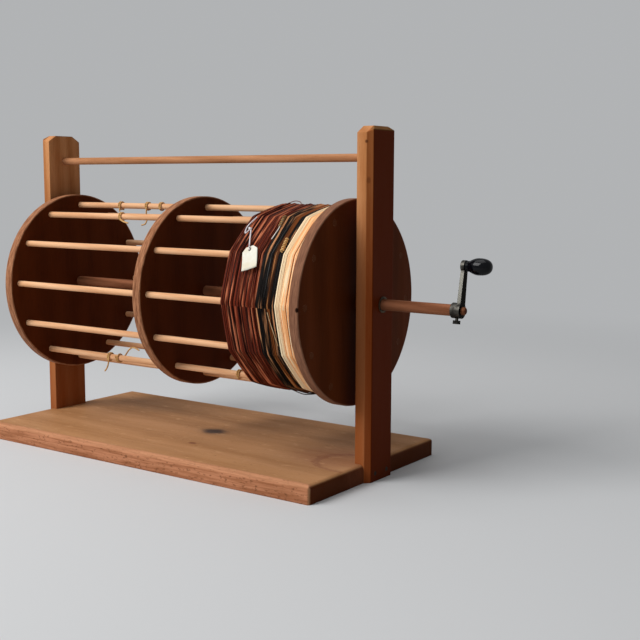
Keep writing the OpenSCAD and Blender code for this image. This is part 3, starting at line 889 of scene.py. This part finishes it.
def metal(name, clean, dull, roughness, dirt, worn=(0, 480), outer=None):
    """Dulled metal, paler on its front between two heights in millimetres: partly rubbed clean, partly a painted
    highlight.

    Outer is a painted shade for the faces that look along the shaft, away from the drum, whose reflections are
    dimmed too.
    """
    material, tree, shader, here = new_material(name)
    marks = place_group(tree, handling, {"Vector": here, "Amount": dirt})
    fine = noise(tree, here, 900.0, 4.0, 0.6)
    mottled = plus(tree, noise(tree, here, 140.0, 3.0), times(tree, marks["Dirt"], 0.4))
    tone = plus(tree, times(tree, smooth_step(tree, mottled, 0.35, 0.75), 0.45), 0.55)
    facing = split(tree, face_normal(tree))
    z = split(tree, here)[2]
    low, high = worn
    # the front faces are paler: partly rubbed clean, partly a painted highlight
    rubbed = smooth_step(tree, facing[1], -0.45, -0.85)
    rubbed = times(tree, rubbed, smooth_step(tree, z, (low - 3) * MM, (low + 3) * MM))
    rubbed = times(tree, rubbed, smooth_step(tree, z, (high + 4) * MM, (high - 4) * MM))
    tone = calc(tree, "SUBTRACT", tone, rubbed, True)
    colour = mix(tree, tone, linear(*clean), linear(*dull))
    if outer:
        # painted shade on the faces that look away from the drum, with dimmed reflections
        side = smooth_step(tree, facing[0], 0.6, 0.9)
        colour = mix(tree, side, colour, linear(*outer))
        connect(tree, shader, {"Specular Tint": mix(tree, side, linear(*WHITE), linear(*SHADED_SIDE_GLANCE))})
    uneven = plus(tree, times(tree, tone, 0.7), times(tree, fine, 0.3))
    connect(tree, shader, {
        "Base Color": colour, "Roughness": spread(tree, uneven, roughness - 0.1, roughness + 0.18),
        "Metallic": 1, "Normal": bump(tree, fine, 0.12, 0.0002, 0.5),
    })
    return material


def gloss_black():
    """Worn black enamel: faint brush marks and small rubbed places."""
    material, tree, shader, here = new_material("knob_enamel")
    marks = place_group(tree, handling, {"Vector": here, "Amount": 0.35})
    connect(tree, shader, {
        "Base Color": tint(tree, linear(6, 7, 11), (34, 29, 28), marks["Scuff"], 0.5),
        "Roughness": spread(tree, noise(tree, here, 160.0, 4.0), 0.06, 0.14),
        "Specular IOR Level": 0.14, "Coat Weight": 0.05, "Coat Roughness": 0.12,
        "Normal": bump(tree, noise(tree, here, 420.0, 2.0), 0.06, 0.0002),
    })
    return material


# the crank's front faces take a painted highlight, partly rubbing, and its outer tone is a painted shade
crank_steel = metal("crank_steel", (106, 104, 97), (34, 31, 29), 0.34, 0.5, worn=(249, 287), outer=(19, 18, 17))
bushing_metal = metal("bushing_metal", (118, 104, 84), (34, 28, 22), 0.42, 0.6)
nail_metal = metal("nail_metal", (74, 62, 54), (40, 32, 28), 0.55, 0.6)
knob_enamel = gloss_black()


# Line, cord and card

def wound_line(name, pale, mid, dark, roughness, first_strands=None):
    """Dressed line: each strand has its own tone, partly painted shade between bunches, with lighter and darker
    stretches along it; the lighter stretches are painted highlights.

    First strands are a colour for those below a place along the shaft in millimetres.
    """
    material, tree, shader, here = new_material(name)
    shade = place_group(tree, strand_shade, {"Vector": here})
    # each strand's tone is partly its own, partly painted shade between bunches
    colour = mix(tree, shade["Strand"], linear(*mid), linear(*dark))
    # the pale streaks are painted highlights, partly the line's own paler stretches
    colour = tint(tree, colour, pale, smooth_step(tree, shade["Streak"], 0.52, 0.65), 0.85)
    if first_strands:
        tone, end = first_strands
        first = smooth_step(tree, split(tree, here)[0], (end + 2) * MM, (end - 2) * MM)
        colour = tint(tree, colour, tone, first, 0.8)
    connect(tree, shader, {
        "Base Color": colour, "Roughness": spread(tree, shade["Streak"], roughness - 0.08, roughness + 0.12),
        "Specular IOR Level": 0.08, "Normal": bump(tree, noise(tree, here, 2600.0, 2.0), 0.2, 0.0001),
    })
    return material


brown_finish = wound_line("brown_dressed_line", (222, 134, 94), (132, 52, 30), (34, 8, 4), 0.38)
black_finish = wound_line("black_dressed_line", (226, 160, 110), (26, 21, 19), (8, 4, 3), 0.36)
tan_finish = wound_line("tan_dressed_line", (200, 134, 80), (142, 78, 34), (36, 18, 8), 0.4)
cream_finish = wound_line(
    "cream_dressed_line", (255, 238, 204), (255, 218, 168), (255, 184, 120), 0.45,
    first_strands=((255, 234, 196), 244),
)

# The inner turns' first tone, and where along the shaft in millimetres each next one starts; each tone is darker
# than its line, a painted shade for the gaps between strands
INNER_TONE = (92, 40, 24)
INNER_BANDS = ((204.6, (16, 16, 18)), (221.4, (92, 52, 26)), (228.5, (16, 16, 18)), (235.7, (240, 172, 118)))


def band_finish():
    """The inner turns, darker than the line above them as painted shade in the gaps, in the same bands of colour,
    and paler on the inside as painted light in the drum's deep shade.
    """
    material, tree, shader, here = new_material("inner_turns")
    shade = place_group(tree, strand_shade, {"Vector": here})
    x = split(tree, here)[0]
    colour = linear(*INNER_TONE)
    for edge, tone in INNER_BANDS:
        colour = mix(tree, smooth_step(tree, x, (edge - 0.3) * MM, (edge + 0.3) * MM), colour, linear(*tone))
    from_shaft = vector_calc(tree, "ADD", here, (0, 0, -SHAFT_Z * MM))[0]
    across = vector_calc(tree, "MULTIPLY", from_shaft, (0, 1, 1))[0]
    outward = vector_calc(tree, "DOT_PRODUCT", face_normal(tree), across)["Value"]
    # painted light on the inward faces, lifting the deep shade inside the drum
    colour = tint(tree, colour, (190, 110, 70), smooth_step(tree, outward, 0.02, -0.02), 0.45)
    connect(tree, shader, {
        "Base Color": mix(tree, times(tree, shade["Strand"], 0.25), colour, linear(120, 90, 80), "MULTIPLY"),
        "Roughness": spread(tree, shade["Streak"], 0.45, 0.7),
    })
    return material


def twisted_finish(name, pale, dark, fuzz):
    """Laid cotton or hemp: fine fibres and darker hollows, with a soft sheen."""
    material, tree, shader, here = new_material(name)
    fibres = noise(tree, here, 1500.0, 4.0, 0.65)
    broad = noise(tree, here, 90.0, 2.0)
    tone = plus(tree, times(tree, fibres, 0.6), times(tree, broad, 0.4))
    connect(tree, shader, {
        "Base Color": mix(tree, smooth_step(tree, tone, 0.35, 0.7), linear(*dark), linear(*pale)),
        "Roughness": spread(tree, fibres, 0.75, 0.95), "Sheen Weight": fuzz,
        "Normal": bump(tree, fibres, 0.5, 0.0002),
    })
    return material


def loose_finish(name, pale, dark):
    """A loose end of line, lighter and darker along its length."""
    material, tree, shader, here = new_material(name)
    tone = noise(tree, here, 120.0, 3.0, 0.6)
    connect(tree, shader, {
        "Base Color": mix(tree, smooth_step(tree, tone, 0.35, 0.65), linear(*dark), linear(*pale)),
        "Roughness": spread(tree, tone, 0.3, 0.5),
    })
    return material


def card_finish():
    """Cream card: paper fibres, yellowed patches and faint handling."""
    material, tree, shader, here = new_material("tag_card")
    fibres = noise(tree, here, 1400.0, 4.0, 0.6)
    marks = place_group(tree, handling, {"Vector": here, "Amount": 0.45})
    yellowed = smooth_step(tree, noise(tree, here, 70.0, 3.0), 0.35, 0.7)
    colour = mix(tree, yellowed, linear(230, 227, 214), linear(220, 211, 188))
    connect(tree, shader, {
        "Base Color": tint(tree, colour, (196, 176, 138), marks["Dirt"], 0.25),
        "Roughness": spread(tree, fibres, 0.62, 0.82), "Normal": bump(tree, fibres, 0.15, 0.0001),
    })
    return material


inner_turns = band_finish()
tie_hemp = twisted_finish("tie_hemp", (242, 196, 126), (184, 134, 74), 0.1)
cotton = twisted_finish("white_cotton", (244, 240, 242), (210, 202, 206), 0.2)
tan_hemp = twisted_finish("tan_hemp", (206, 164, 104), (118, 82, 42), 0.1)
pale_finish = loose_finish("pale_loose_line", (226, 200, 156), (176, 140, 96))
white_finish = loose_finish("white_loose_line", (244, 242, 236), (214, 208, 196))
dark_finish = loose_finish("black_loose_line", (34, 35, 40), (16, 16, 19))
brown_loose = loose_finish("brown_loose_line", (120, 60, 40), (70, 32, 22))
tag_card = card_finish()


# Finishes on the pieces

def dress(piece, material):
    if not piece.material_slots:
        piece.data.materials.append(material)
    for place in piece.material_slots:
        place.material = material


for name, piece in nodes.items():
    if name.startswith("dowel_"):
        dress(piece, dowel_wood)
    elif name.endswith("_disc") or name.endswith("_spacer"):
        dress(piece, disc_wood)
    elif name.endswith("_post"):
        dress(piece, post_wood)
    elif name.endswith("_bushing"):
        dress(piece, bushing_metal)
dress(nodes["top_rail"], rail_wood)
dress(nodes["base_board"], base_wood)
dress(nodes["shaft"], shaft_wood)
dress(nodes["post_nails"], nail_metal)
for name in ("crank_arm", "knob_pin", "thumb_screw"):
    dress(nodes[name], crank_steel)
for piece in (knob, ferrule):
    dress(piece, knob_enamel)
dress(brown_winding, brown_finish)
dress(black_winding, black_finish)
dress(edge_black_winding, black_finish)
dress(tan_winding, tan_finish)
dress(cream_winding, cream_finish)
dress(band, inner_turns)
for piece in ties:
    dress(piece, tie_hemp)
dress(end_knot, tan_hemp)
dress(tan_knot, tie_hemp)
for piece in (tag_string, string_loop, string_knot):
    dress(piece, cotton)
dress(pale_line, pale_finish)
dress(white_end, white_finish)
dress(top_loop, brown_loose)
dress(slack_loop, dark_finish)
dress(second_slack_loop, dark_finish)
dress(tag, tag_card)


# Floor, background and light

BACKGROUND = (0.96, 0.98, 1, 1)
BACKGROUND_LEVEL = 0.46
ROOM_LEVEL = 0.19
FLOOR_SIZE = 40
FLOOR_TONE = (206, 207, 208)
PLAIN_FROM, PLAIN_BEYOND = 0.75, 2.0
LIT_PLACE = (0, 0, 0.2)


def background_rays(tree):
    """1 where the camera, a reflection or a view through something clear meets the background."""
    ray = add(tree, "LightPath").outputs
    mirrored = calc(tree, "MAXIMUM", ray["Is Glossy Ray"], ray["Is Transmission Ray"])
    return calc(tree, "MAXIMUM", ray["Is Camera Ray"], mirrored)


def floor():
    """A pale floor that passes into the plain background away from the object."""
    mesh = bmesh.new()
    bmesh.ops.create_grid(mesh, x_segments=1, y_segments=1, size=FLOOR_SIZE / 2)
    data = bpy.data.meshes.new("floor")
    mesh.to_mesh(data)
    mesh.free()
    piece = show("floor", data)
    material, tree, shader, here = new_material("pale_floor")
    connect(tree, shader, {"Base Color": linear(*FLOOR_TONE), "Roughness": 0.85})
    away = add(tree, "VectorMath", {0: here}, operation="LENGTH").outputs["Value"]
    plain = times(tree, smooth_step(tree, away, PLAIN_FROM, PLAIN_BEYOND), background_rays(tree))
    tone = add(tree, "Emission", {"Color": BACKGROUND, "Strength": BACKGROUND_LEVEL}).outputs[0]
    blend = add(tree, "MixShader", {0: plain, 1: tree.nodes["Principled BSDF"].outputs[0], 2: tone})
    tree.links.new(blend.outputs[0], tree.nodes["Material Output"].inputs["Surface"])
    piece.data.materials.append(material)


def soft_lamp(name, place, size, watts):
    """A square lamp turned towards the object."""
    lamp = bpy.data.lights.new(name, "AREA")
    lamp.size = size
    lamp.energy = watts
    piece = show(name, lamp)
    turn = (Vector(place) - Vector(LIT_PLACE)).to_track_quat("Z", "Y").to_matrix().to_4x4()
    piece.matrix_world = Matrix.Translation(place) @ turn


def light_room():
    world = bpy.data.worlds.new("room")
    world.use_nodes = True
    tree = world.node_tree
    lift = times(tree, background_rays(tree), BACKGROUND_LEVEL - ROOM_LEVEL)
    connect(tree, tree.nodes["Background"].inputs, {"Color": BACKGROUND, "Strength": plus(tree, ROOM_LEVEL, lift)})
    bpy.context.scene.world = world
    soft_lamp("window_light", (-1.6, -2.75, 2.6), 2.3, 138)
    soft_lamp("top_fill", (-0.3, -0.4, 3.4), 2.4, 38)


floor()
light_room()
bpy.context.scene.view_settings.view_transform = "Standard"
